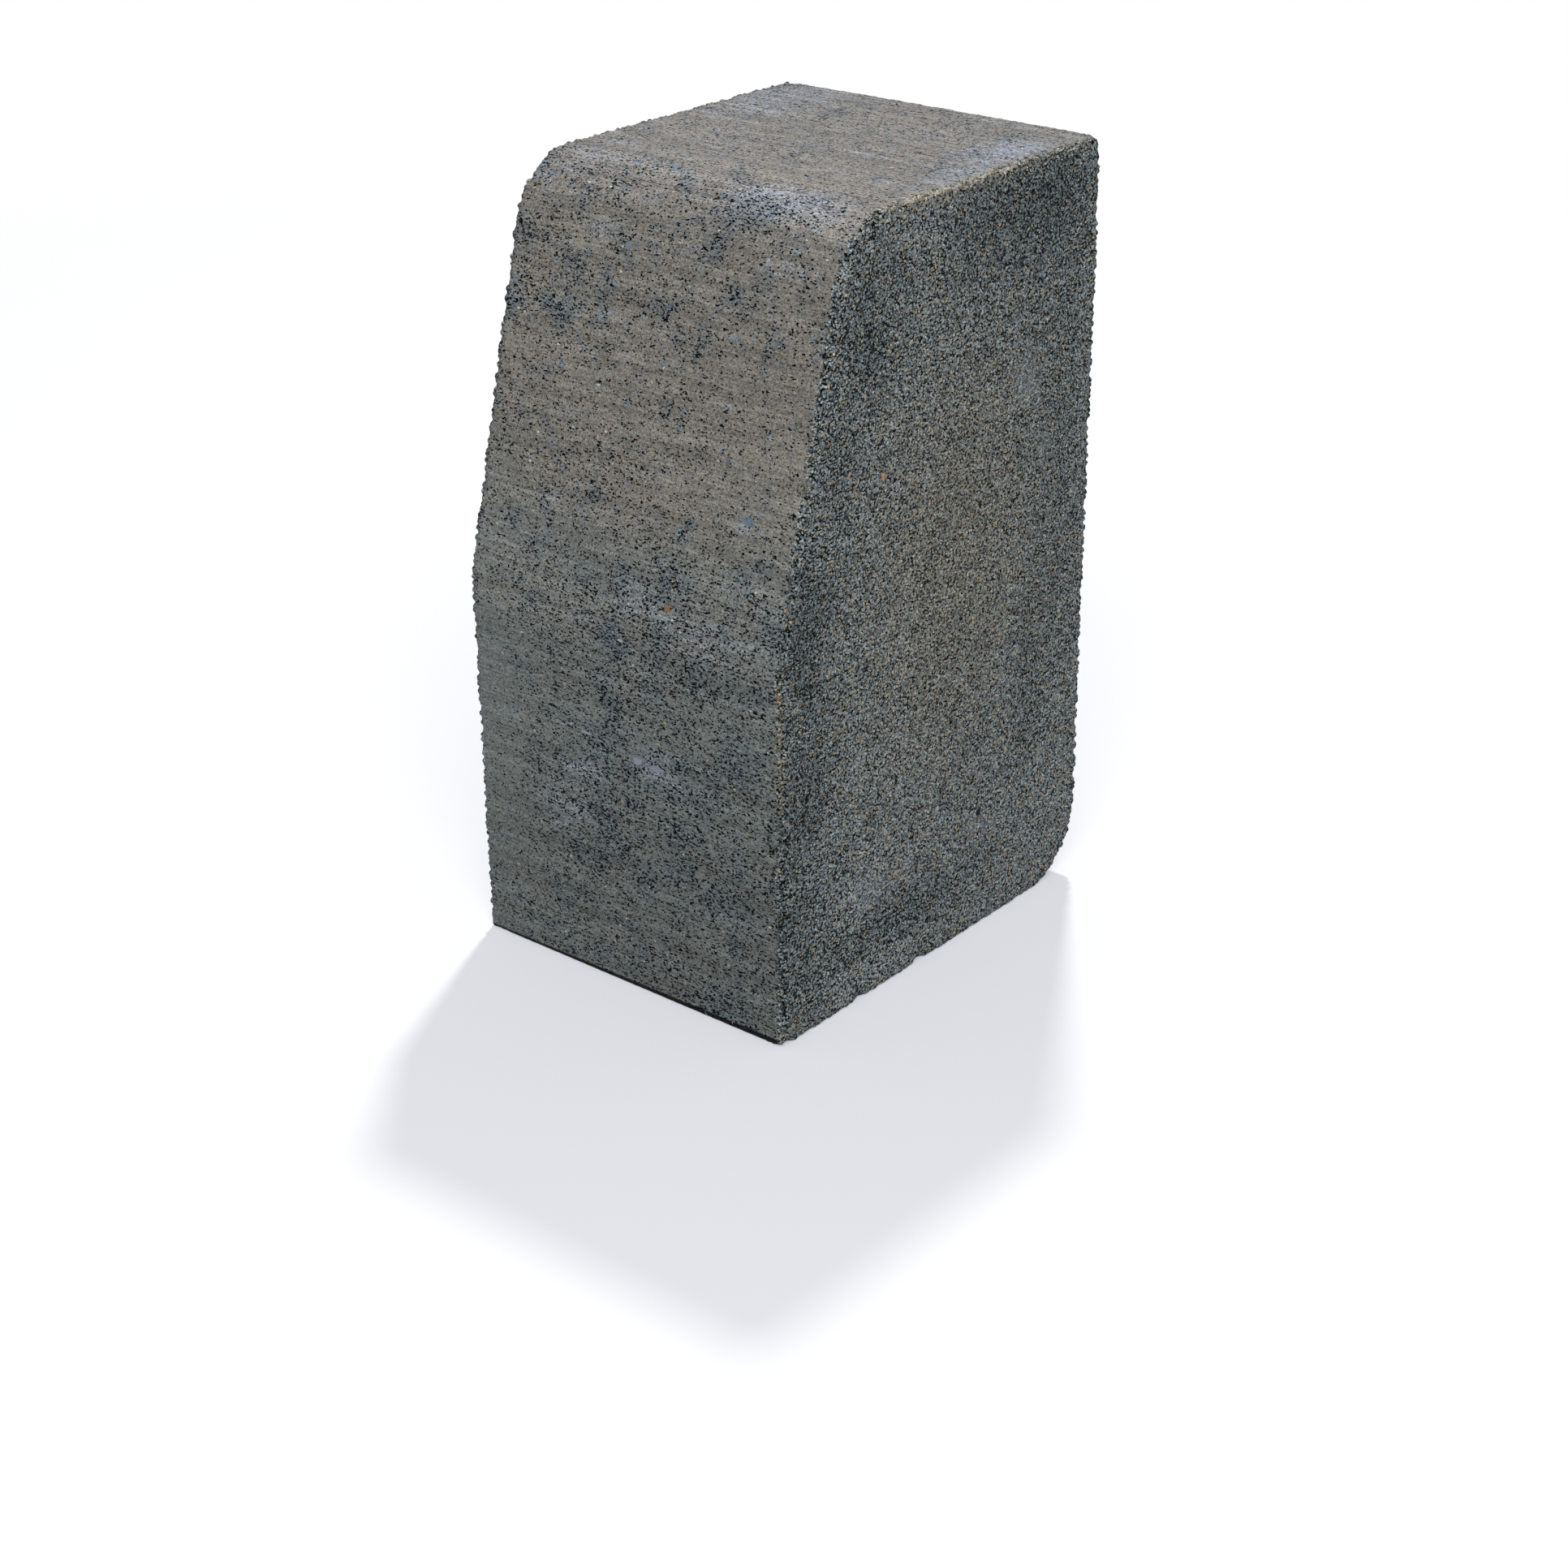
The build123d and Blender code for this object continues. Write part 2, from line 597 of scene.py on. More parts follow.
    def _pits(self, on: Ground, high: Socket, torn: Socket, knots: Socket, hollow: Socket) -> Socket:
        """Find the small pits and the few larger holes, nudged along the drag.

        Args:
            on: The shared patterns.
            high: Share of the warm skin high up, which has fewer.
            torn: Share of the torn skin, which has more.
            knots: Small noise that gathers them.
            hollow: A chance for each cell of the skin.

        Returns:
            Share of pit.
        """
        add = partial(add_node, on.tree)
        low_down = add(MATH, {0: 1.0, 1: high}, operation="SUBTRACT")
        spared = add(MATH, {0: on.marks[Film.TORN], 1: 0.5}, operation="ADD", use_clamp=True)
        crowding = add(MATH, {0: low_down, 1: spared, 2: torn}, **TIMES_PLUS)
        for source, middle, weight in (
            (on.marks[Film.TORN], 0.0, 0.5), (on.wash, 0.5, 2.0), (knots, 0.5, 2.5),
        ):
            swing = add(MATH, {0: source, 1: middle}, operation="SUBTRACT")
            crowding = add(MATH, {0: swing, 1: weight, 2: crowding}, **TIMES_PLUS)
        holes = add(NOISE, {
            "Vector": on.nudged, "Scale": 1 / self.hole_mm, "Detail": 1.0, "Roughness": 0.6,
        })
        speck = add(CELLS, {"Vector": on.nudged, "Scale": 1 / self.speck_mm}, out="Color")
        speck = add(PART, {0: speck}, out="X")
        shaded_pit: Union[Socket, float] = 0.0
        for chances, start, crowd, soft in (
            (speck, 0.888, 0.12, 0.02), (hollow, 1.0, 0.07, 0.01), (holes, 0.8, 0.06, 0.03),
        ):
            dents = add(MATH, {0: crowding, 1: crowd, 2: chances}, **TIMES_PLUS)
            dents = add(RANGE, {0: dents, LOW: start, HIGH: start + soft}, **SOFT)
            shaded_pit = add(MATH, {0: dents, 1: shaded_pit}, operation="MAXIMUM")
        return shaded_pit

    def _open_grain(self, on: Ground) -> tuple[Socket, Socket]:
        """Draw the sand of the ends: grains of many tones, gaps painted black as shade, a few warm stones.

        Args:
            on: The shared patterns.

        Returns:
            Colour, and relief in millimetres.
        """
        add = partial(add_node, on.tree)
        chance = add(CELLS, {"Vector": on.lying, "Scale": 1 / self.grain_mm}, out="Color")
        tone, missing, kind = (add(PART, {0: chance}, out=part) for part in "XYZ")
        tan = add(MATH, {0: kind, 1: self.tan_chance}, operation="GREATER_THAN")
        tan = add(MATH, {0: tan, 1: self.tan_share}, **TIMES)

        # Films that lie over the sand: pale patches, a warm dust, and a gloom that darkens it
        smooth = add(MATH, {0: on.marks[Film.LAITANCE], 1: on.blot}, **TIMES)
        smooth = add(RANGE, {0: smooth, LOW: 0.08, HIGH: 0.4, TO_HIGH: 0.5}, **SOFT)
        dusty = add(MATH, {0: on.marks[Film.SAND], 1: self.dust_share}, **TIMES)
        grain: Union[Socket, Colour] = linear(self.grain_dark)
        for share, hue in (
            (tone, self.grain_light), (tan, self.grain_tan), (smooth, self.laitance), (dusty, self.dust),
        ):
            grain = add(MIX, {SHARE: share, UNDER: grain, OVER: linear(hue)}, **COLOURS)
        grain = add(MIX, {SHARE: on.marks[Film.TORN], UNDER: grain, OVER: linear(self.gloom)}, **STAIN)
        for noise, dark, light in ((on.wash, 0.93, 1.07), (on.blot, 0.93, 1.07), (on.flour, 0.72, 1.45)):
            shade = add(RANGE, {0: noise, **USUAL, TO_LOW: dark, TO_HIGH: light})
            grain = add(MIX, {SHARE: 1.0, UNDER: grain, OVER: shade}, **STAIN)

        # Stones among the grains, more of them where the sand is warm
        lucky = add(MATH, {0: on.marks[Film.SAND], 1: self.stone_weight, 2: kind}, **TIMES_PLUS)
        warm, pale = (add(MATH, {0: lucky, 1: least}, operation="GREATER_THAN") for least in self.end_stones)

        # Gaps between the grains and holes that fallen grains left, painted in shade, fewer under the films
        bare = chance.node.outputs["Distance"]
        for source, weight in ((on.marks[Film.TORN], 0.15), (missing, 0.4)):
            bare = add(MATH, {0: source, 1: weight, 2: bare}, **TIMES_PLUS)
        shaded_gap = add(RANGE, {0: bare, LOW: 0.8, HIGH: 0.89})
        uncovered = add(MATH, {0: 1.0, 1: smooth}, operation="SUBTRACT")
        shaded_gap = add(MATH, {0: shaded_gap, 1: uncovered}, **TIMES)
        for share, hue in ((warm, self.stone_warm), (pale, self.stone_pale), (shaded_gap, self.shaded_gap)):
            grain = add(MIX, {SHARE: share, UNDER: grain, OVER: linear(hue)}, **COLOURS)
        return grain, add(MATH, {0: shaded_gap, 1: -self.gap_depth}, **TIMES)


@dataclass(frozen=True)
class Weathering:
    """Broken arrises, chips and uneven faces of pressed concrete, in millimetres.

    Attributes:
        chips: Breaks at named places.
        break_size: Size of the wide breaks along an arris.
        break_depth: How deep they go.
        break_reach: Distances from the arris over which they fade.
        tooth_size: Size of the small teeth along an arris.
        tooth_depths: How far the surface goes back on a tooth and beside it.
        tooth_reach: Distances from the arris over which they fade.
        end_zone: Distances from the block's middle over which the breaks come in.
        long_share: Share of the breaks along the kerb line.
        bed_zone: Heights over which the breaks come in.
        bed_share: Share of the breaks at the bed.
        rubble_size: Size of the unevenness in a chip.
        rubble_reach: How far that moves the edge of a chip.
        swell_size: Size of the broad unevenness of the faces.
        swell_height: How far it stands out or goes back.
        swell_zone: Heights over which it comes in, so that the bed stays flat.
        lump_size: Size of the lumps of sand on the ends.
        lump_height: How far they stand out or go back.
    """

    chips: tuple[Chip, ...] = (
        Chip((50.0, -60.5, 0.0), 3.4, 1.2),
        Chip((50.0, -7.3, 0.0), 4.0, 1.3),
        Chip((50.0, -32.0, 0.0), 3.5, 0.9),
        Chip((50.0, 62.5, 200.0), 4.5, 1.3),
        Chip((50.0, 62.5, 184.0), 3.0, 0.7),
    )
    break_size: float = 8.0
    break_depth: float = 0.3
    break_reach: Span = (0.0, 3.5)
    tooth_size: float = 1.7
    tooth_depths: Span = (-0.25, 0.75)
    tooth_reach: Span = (0.4, 2.2)
    end_zone: Span = (42.0, 48.0)
    long_share: float = 0.2
    bed_zone: Span = (1.0, 5.0)
    bed_share: float = 0.35
    rubble_size: float = 3.0
    rubble_reach: float = 2.0
    swell_size: float = 38.0
    swell_height: float = 0.15
    swell_zone: Span = (0.0, 6.0)
    lump_size: float = 2.8
    lump_height: float = 0.12

    def build(self, arrises: Object) -> Tree:
        """Make the geometry nodes that wear a fine mesh and mark where they did.

        Args:
            arrises: Lines along the sharp edges of the mesh.

        Returns:
            The tree, for a Geometry Nodes modifier.
        """
        tree = bpy.data.node_groups.new("concrete_wear", "GeometryNodeTree")
        for way in ("INPUT", "OUTPUT"):
            tree.interface.new_socket("Geometry", in_out=way, socket_type="NodeSocketGeometry")
        add = partial(add_node, tree)
        metres = add("GeometryNodeInputPosition")
        place = add(VECTOR, {0: metres, "Scale": MM_PER_M}, operation="SCALE")
        facing = add("GeometryNodeInputNormal")
        loss, near_arris = self._breaks(tree, place, arrises)
        loss = self._with_chips(tree, place, loss)
        raised = self._unevenness(tree, place, facing)
        raised = add(MATH, {0: raised, 1: loss}, operation="SUBTRACT")
        raised = add(MATH, {0: raised, 1: MM}, **TIMES)
        shift = add(VECTOR, {0: facing, "Scale": raised}, operation="SCALE")
        mesh = add("NodeGroupInput")
        for mark, amount in ((Mark.WEAR, loss), (Mark.ARRIS, near_arris)):
            mesh = add("GeometryNodeStoreNamedAttribute", {
                "Geometry": mesh, "Name": mark.value, "Value": amount,
            }, data_type="FLOAT", domain="POINT")
        moved = add("GeometryNodeSetPosition", {"Geometry": mesh, "Offset": shift})
        add("NodeGroupOutput", {0: moved})
        return tree

    def _breaks(self, tree: Tree, place: Socket, arrises: Object) -> tuple[Socket, Socket]:
        """Break the arrises, most of all those of the ends and least at the bed.

        Args:
            tree: Tree of the wear.
            place: Place on the block in millimetres.
            arrises: Lines along the sharp edges.

        Returns:
            How far the surface goes back, in millimetres, and how near an arris it is, from 0 to 1.
        """
        add = partial(add_node, tree)
        lines = add("GeometryNodeObjectInfo", {"Object": arrises}, out="Geometry")
        apart = add("GeometryNodeProximity", {0: lines}, out="Distance", target_element="EDGES")
        apart = add(MATH, {0: apart, 1: MM_PER_M}, **TIMES)
        wide, narrow = (
            add(RANGE, {0: apart, LOW: near, HIGH: far, TO_LOW: 1.0, TO_HIGH: 0.0}, **SOFT)
            for near, far in (self.break_reach, self.tooth_reach)
        )
        breaks = add(NOISE, {"Vector": place, "Scale": 1 / self.break_size, "Detail": 2.0})
        breaks = add(RANGE, {0: breaks, LOW: 0.45, HIGH: 0.7, TO_HIGH: self.break_depth})
        teeth = add(CELLS, {"Vector": place, "Scale": 1 / self.tooth_size}, out="Distance")
        least, most = self.tooth_depths
        teeth = add(RANGE, {0: teeth, LOW: 0.15, HIGH: 0.7, TO_LOW: least, TO_HIGH: most})
        loss = add(MATH, {0: wide, 1: breaks}, **TIMES)
        loss = add(MATH, {0: narrow, 1: teeth, 2: loss}, **TIMES_PLUS)
        from_middle = add(MATH, {0: add(PART, {0: place}, out="X")}, operation="ABSOLUTE")
        start, full = self.end_zone
        at_end = add(RANGE, {0: from_middle, LOW: start, HIGH: full, TO_LOW: self.long_share}, **SOFT)
        start, full = self.bed_zone
        off_bed = add(RANGE, {
            0: add(PART, {0: place}, out="Z"), LOW: start, HIGH: full, TO_LOW: self.bed_share,
        })
        for share in (at_end, off_bed):
            loss = add(MATH, {0: loss, 1: share}, **TIMES)
        return loss, narrow

    def _with_chips(self, tree: Tree, place: Socket, loss: Socket) -> Socket:
        """Add the chips at named places, each with an uneven edge.

        Args:
            tree: Tree of the wear.
            place: Place on the block in millimetres.
            loss: How far the surface goes back without them.

        Returns:
            How far the surface goes back with them.
        """
        add = partial(add_node, tree)
        rubble = add(NOISE, {"Vector": place, "Scale": 1 / self.rubble_size, "Detail": 2.0})
        usual = self.rubble_reach / 2
        for chip in self.chips:
            gone = add(VECTOR, {0: place, 1: chip.centre}, out="Value", operation="DISTANCE")
            gone = add(MATH, {0: rubble, 1: self.rubble_reach, 2: gone}, **TIMES_PLUS)
            gone = add(RANGE, {
                0: gone, LOW: usual, HIGH: chip.reach + usual, TO_LOW: chip.depth, TO_HIGH: 0.0,
            }, **SOFT)
            loss = add(MATH, {0: loss, 1: gone}, operation="MAXIMUM")
        return loss

    def _unevenness(self, tree: Tree, place: Socket, facing: Socket) -> Socket:
        """Let the faces swell a little, and the sand of the ends stand in lumps.

        Args:
            tree: Tree of the wear.
            place: Place on the block in millimetres.
            facing: Normal of the surface.

        Returns:
            How far the surface stands out, in millimetres.
        """
        add = partial(add_node, tree)
        swell = add(NOISE, {"Vector": place, "Scale": 1 / self.swell_size, "Detail": 1.0})
        swell = add(RANGE, {
            0: swell, LOW: 0.2, HIGH: 0.8, TO_LOW: -self.swell_height, TO_HIGH: self.swell_height,
        })
        start, full = self.swell_zone
        off_bed = add(RANGE, {0: add(PART, {0: place}, out="Z"), LOW: start, HIGH: full})
        swell = add(MATH, {0: swell, 1: off_bed}, **TIMES)
        lumps = add(NOISE, {"Vector": place, "Scale": 1 / self.lump_size, "Detail": 2.0})
        lumps = add(RANGE, {0: lumps, **USUAL, TO_LOW: -self.lump_height, TO_HIGH: self.lump_height})
        sideways = add(MATH, {0: add(PART, {0: facing}, out="X")}, operation="ABSOLUTE")
        end_face = add(RANGE, {0: sideways, LOW: 0.5, HIGH: 0.9})
        return add(MATH, {0: lumps, 1: end_face, 2: swell}, **TIMES_PLUS)


@dataclass
class KerbStone:
    """The block itself: one piece, shaped from a cube and then worn.

    Attributes:
        node: Solid that this piece stands for.
        name: Name of the piece.
        section: Sizes of its section.
        grid: Edge of the even mesh that takes the wear, in metres.
        triangles: Most triangles that the finished mesh may have.
        sharp: Least angle of an edge that is an arris, in degrees.
        wear: How its surface has suffered.
        finish: What it is made of.
        patches: Where each film lies.
    """

    node: str = "kerb_block"
    name: str = "kerb_stone"
    section: Section = Section()
    grid: float = 0.45 * MM
    triangles: int = 190_000
    sharp: float = 50.0
    wear: Weathering = Weathering()
    finish: PressedConcrete = PressedConcrete()
    patches: Mapping[Film, tuple[Patch, ...]] = field(default_factory=lambda: {
        Film.TORN: (
            # Upright part of the road face
            Patch((9, -60, 91), (11, 12, 11), 0.4), Patch((-3, -62, 74), (9, 12, 7), 0.15),
            Patch((-10, -62, 41), (12, 12, 9), 0.1), Patch((25, -62, 92), (6, 12, 6), 0.4),
            Patch((-46, -62, 60), (12, 14, 50), -0.8),
            # Leaning part of the road face
            Patch((-37, -46, 165.5), (16, 12, 2.6), 1.2), Patch((-36, -42, 181), (12, 12, 5), 0.4),
            Patch((-42, -52, 141), (9, 12, 3), 0.7), Patch((-20, -57, 122), (18, 12, 7), -0.4),
            Patch((6, -60, 110), (22, 12, 7), 0.2), Patch((30, -50, 142), (20, 14, 22), -0.7),
            Patch((-12, -50, 150), (12, 14, 9), -0.5), Patch((12, -45, 168.5), (5, 12, 3), 0.8),
            Patch((10, -38, 186), (6, 12, 6), 0.5),
            # Nose and top
            Patch((24, -31, 197), (15, 7, 5), 0.3), Patch((0, 25, 200), (60, 45, 6), -0.2),
            # Near end
            Patch((50, -58, 45), (2, 14, 50), 0.42), Patch((50, -54, 108), (2, 10, 25), 0.4),
            Patch((50, -44, 142), (2, 10, 20), 0.45), Patch((50, -30, 172), (2, 12, 20), 0.38),
            Patch((50, 48, 140), (2, 13, 70), 0.2), Patch((50, 35, 190), (2, 32, 14), 0.45),
            Patch((50, 12, 176), (2, 34, 18), 0.15), Patch((50, 38, 66), (2, 6, 22), 0.25),
            Patch((50, -14, 17), (2, 38, 7), 0.42),
            # Far end and back, guessed
            Patch((-50, -52, 60), (2, 13, 70), 0.45), Patch((-50, 50, 120), (2, 12, 70), 0.35),
            Patch((-50, 10, 190), (2, 45, 12), 0.45), Patch((-50, 5, 14), (2, 45, 8), 0.45),
            Patch((20, 62, 150), (20, 12, 8), 0.5), Patch((-20, 62, 70), (14, 12, 12), 0.4),
        ),
        Film.LAITANCE: (
            # Upright part of the road face
            Patch((21, -62, 103), (8, 10, 4), 0.9), Patch((5, -61, 106), (9, 10, 4), 0.6),
            Patch((9, -62, 64), (7, 10, 3), 1.1), Patch((-11, -62, 57), (7, 10, 3.5), 1.2),
            Patch((-20, -62, 45), (8, 10, 4.5), 1.1), Patch((-49, -62, 55), (5, 12, 45), 0.3),
            # Leaning part of the road face
            Patch((-21, -36, 187), (4, 10, 3), 0.8), Patch((-15, -42, 172), (6, 10, 2), 0.7),
            Patch((35, -54, 131), (4, 10, 3), 0.5), Patch((-48, -57, 122), (6, 8, 18), 0.25),
            # Nose and top
            Patch((26, -28, 198), (14, 6, 6), 1.0), Patch((41, 36, 200), (8, 15, 4), 1.2),
            Patch((46, 5, 200), (4, 13, 4), 1.1), Patch((-36, 45, 200), (14, 26, 4), 0.65),
            Patch((-35, -24, 198), (12, 7, 5), 0.5),
            # Near end
            Patch((50, -18, 28), (2, 20, 5), 0.4), Patch((50, 33, 147), (2, 9, 10), 0.5),
            Patch((50, 41, 125), (2, 7, 9), 0.45), Patch((50, 25, 92), (2, 6, 7), 0.4),
            Patch((50, -9, 139), (2, 6, 8), 0.3), Patch((50, -23, 157), (2, 6, 8), 0.3),
            Patch((50, 24, 184), (2, 9, 6), 0.35), Patch((50, 16, 30), (2, 8, 7), 0.45),
            Patch((50, -32, 32), (2, 7, 7), 0.35),
            # Far end and back, guessed
            Patch((-50, -20, 150), (2, 10, 12), 0.45), Patch((-50, 20, 120), (2, 8, 9), 0.4),
            Patch((-50, 30, 60), (2, 9, 10), 0.45), Patch((-50, -10, 40), (2, 12, 7), 0.4),
            Patch((-15, 62, 170), (8, 10, 4), 0.6), Patch((-30, 62, 110), (7, 10, 4), 0.6),
            Patch((20, 62, 60), (9, 10, 5), 0.6),
        ),
        Film.SAND: (
            # Near arris of the top, top behind the nose, near arris of the road face, both ends
            # On the top's near arris this sand carries the crust that is partly a painted highlight
            Patch((50, 10, 200), (2.5, 45, 2.5), 1.2), Patch((20, -14, 200), (34, 16, 5), 0.4),
            Patch((50, -62.5, 80), (1.6, 1.6, 26), 1.05), Patch((50, 4, 108), (2, 32, 50), 0.9),
            Patch((-50, 8, 95), (2, 34, 52), 0.7),
        ),
    })

    def build(self) -> Object:
        """Model, wear and dress the block.

        Returns:
            The finished piece.
        """
        stone = self._block_out()
        arrises = self._arris_lines(stone)
        self._even_mesh(stone)
        self._wear_down(stone, arrises)
        bpy.data.objects.remove(arrises)
        self._thin(stone)
        self._lay_films(stone)
        stone.data.materials.clear()
        stone.data.materials.append(self.finish.build())
        return stone

    def _block_out(self) -> Object:
        """Cut the section from a cube and round its edges.

        Returns:
            The plain block, on few faces.
        """
        low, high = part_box(self.node)
        size = high - low
        cut = self.section
        bpy.ops.object.select_all(action="DESELECT")
        bpy.ops.mesh.primitive_cube_add(size=1.0)
        stone = bpy.context.object
        stone.name = stone.data.name = self.name
        bpy.ops.object.mode_set(mode="EDIT")
        bpy.ops.transform.resize(value=size)
        bpy.ops.transform.translate(value=(low + high) / 2)

        # Lean of the road face, cut off by one plane
        lean = math.atan2(cut.batter_setback, size.z - cut.upright_height)
        bpy.ops.mesh.bisect(
            plane_co=(0.0, low.y, cut.upright_height), plane_no=(0.0, -math.cos(lean), math.sin(lean)),
            use_fill=True, clear_outer=True,
        )

        # Long edges that the section rounds, by their place across the kerb line
        right_angle = math.pi / 2
        touching = 0.1 * MM
        for y, z, radius, turn, steps in (
            (low.y + cut.batter_setback, high.z, cut.nose_radius, right_angle - lean, cut.round_steps),
            (high.y, low.z, cut.bullnose_radius, right_angle, cut.round_steps),
            (low.y, cut.upright_height, cut.knee_radius, lean, cut.knee_steps),
        ):
            line = Vector((0.0, y, z))
            select_edges(stone, lambda a, b: all(
                (Vector((0.0, end.y, end.z)) - line).length < touching for end in (a, b)
            ))
            bpy.ops.mesh.bevel(offset=cut.run_in(radius, turn), segments=steps, affect="EDGES")
        bpy.ops.object.mode_set(mode="OBJECT")
        return stone

    def _arris_lines(self, stone: Object) -> Object:
        """Copy the sharp edges out as bare lines, then ease them on the block.

        Args:
            stone: The plain block.

        Returns:
            The lines, as an object of their own.
        """
        work_on(stone)
        bpy.ops.object.mode_set(mode="EDIT")
        bpy.ops.mesh.select_mode(type="EDGE")
        bpy.ops.mesh.select_all(action="DESELECT")
        bpy.ops.mesh.edges_select_sharp(sharpness=math.radians(self.sharp))
        bpy.ops.mesh.duplicate()
        bpy.ops.mesh.separate(type="SELECTED")
        bpy.ops.mesh.select_all(action="DESELECT")
        bpy.ops.mesh.edges_select_sharp(sharpness=math.radians(self.sharp))
        cut = self.section
        bpy.ops.mesh.bevel(offset=cut.arris_radius, segments=cut.arris_steps, affect="EDGES")
        bpy.ops.object.mode_set(mode="OBJECT")
        lines = next(o for o in bpy.context.selected_objects if o is not stone)
        lines.name = lines.data.name = "arris_lines"
        return lines

    def _even_mesh(self, stone: Object) -> None:
        """Give the block an even, fine mesh that can take relief.

        Args:
            stone: The block with its edges eased.
        """
        work_on(stone)
        even = stone.modifiers.new("even_mesh", "REMESH")
        even.mode = "VOXEL"
        even.voxel_size = self.grid
        even.use_smooth_shade = True
        bpy.ops.object.modifier_apply(modifier=even.name)

    def _wear_down(self, stone: Object, arrises: Object) -> None:
        """Break the arrises and give the faces their unevenness.

        Args:
            stone: The block with its fine mesh.
            arrises: Lines along its sharp edges.
        """
        work_on(stone)
        worn = stone.modifiers.new("concrete_wear", "NODES")
        worn.node_group = self.wear.build(arrises)
        bpy.ops.object.modifier_apply(modifier=worn.name)

    def _thin(self, stone: Object) -> None:
        """Spend the triangles where the surface turns, down to the limit.

        Args:
            stone: The worn block.
        """
        work_on(stone)
        count = sum(len(face.vertices) - 2 for face in stone.data.polygons)
        thin = stone.modifiers.new("thin", "DECIMATE")
        thin.ratio = min(1.0, self.triangles / count)
        bpy.ops.object.modifier_apply(modifier=thin.name)
        bpy.ops.object.shade_smooth()
        LOG.info("%s: %d triangles thinned to %d faces", stone.name, count, len(stone.data.polygons))

    def _lay_films(self, stone: Object) -> None:
        """Write how much of each film lies at each point of the mesh.

        Args:
            stone: The block with its final mesh.
        """
        mesh = stone.data
        points = np.empty(len(mesh.vertices) * 3, np.float32)
        mesh.vertices.foreach_get("co", points)
        points = points.reshape(-1, 3) * MM_PER_M
        for film in Film:
            amount = np.zeros(len(points), np.float32)
            for patch in self.patches[film]:
                away = ((points - np.array(patch.centre)) / np.array(patch.reach)) ** 2
                amount += patch.strength * np.exp(-away.sum(axis=1))
            layer = mesh.attributes.new(film.value, "FLOAT", "POINT")
            layer.data.foreach_set("value", amount)


@dataclass(frozen=True)
class MattPaper:
    """Matt white paper, which the photograph shows over-exposed, with a cool soft shadow.

    Attributes:
        name: Name of the material.
        seen: Colour to the camera, gloss and glass, near the block.
        bouncing: Colour of the light that it throws back.
        glow: Light of its own, near the block, that keeps the shadow pale.
        near: Distance in metres up to which the shadow shows in full.
        far: Distance in metres from which the paper is plain white.
    """

    name: str = "matt_paper"
    seen: str = "#f5f4f1"
    bouncing: str = "#7c7c7a"
    glow: Colour = (0.29, 0.305, 0.36, 1.0)
    near: float = 0.45
    far: float = 0.9

    def build(self) -> bpy.types.Material:
        """Make the material.

        Returns:
            The new material, for a floor whose origin is under the block.
        """
        material = bpy.data.materials.new(self.name)
        material.use_nodes = True
        tree = material.node_tree
        tree.nodes.clear()
        add = partial(add_node, tree)
        rays = add("ShaderNodeLightPath", out="Is Camera Ray")
        for kind in ("Is Glossy Ray", "Is Transmission Ray"):
            rays = add(MATH, {0: rays, 1: add("ShaderNodeLightPath", out=kind)}, operation="MAXIMUM")
        place = add("ShaderNodeTexCoord", out="Object")
        away = add(VECTOR, {0: place}, out="Value", operation="LENGTH")
        fade = add(RANGE, {0: away, LOW: self.near, HIGH: self.far}, **SOFT)
        seen, glow = (
            add(MIX, {SHARE: fade, UNDER: close_by, OVER: far_off}, **COLOURS)
            for close_by, far_off in ((linear(self.seen), BLACK), (self.glow, WHITE))
        )
        colour = add(MIX, {SHARE: rays, UNDER: linear(self.bouncing), OVER: seen}, **COLOURS)
        surface = add("ShaderNodeBsdfPrincipled", {
            "Base Color": colour, "Roughness": 1.0, "Specular IOR Level": 0.0,
            "Emission Color": glow, "Emission Strength": rays,
        })
        add("ShaderNodeOutputMaterial", {"Surface": surface})
        return material


@dataclass
class PaleFloor:
    """A plain pale floor that keeps the block's shadow and is white to the camera.

    Attributes:
        half_width: Half its width in metres.
        finish: What it is made of.
    """

    half_width: float = 6.0
    finish: MattPaper = MattPaper()

    def build(self) -> Object:
        """Make the floor.

        Returns:
            The floor.
        """
        bpy.ops.object.select_all(action="DESELECT")
        bpy.ops.mesh.primitive_plane_add(size=2 * self.half_width)
        floor = bpy.context.object
        floor.name = floor.data.name = "pale_floor"
        floor.data.materials.append(self.finish.build())
        return floor


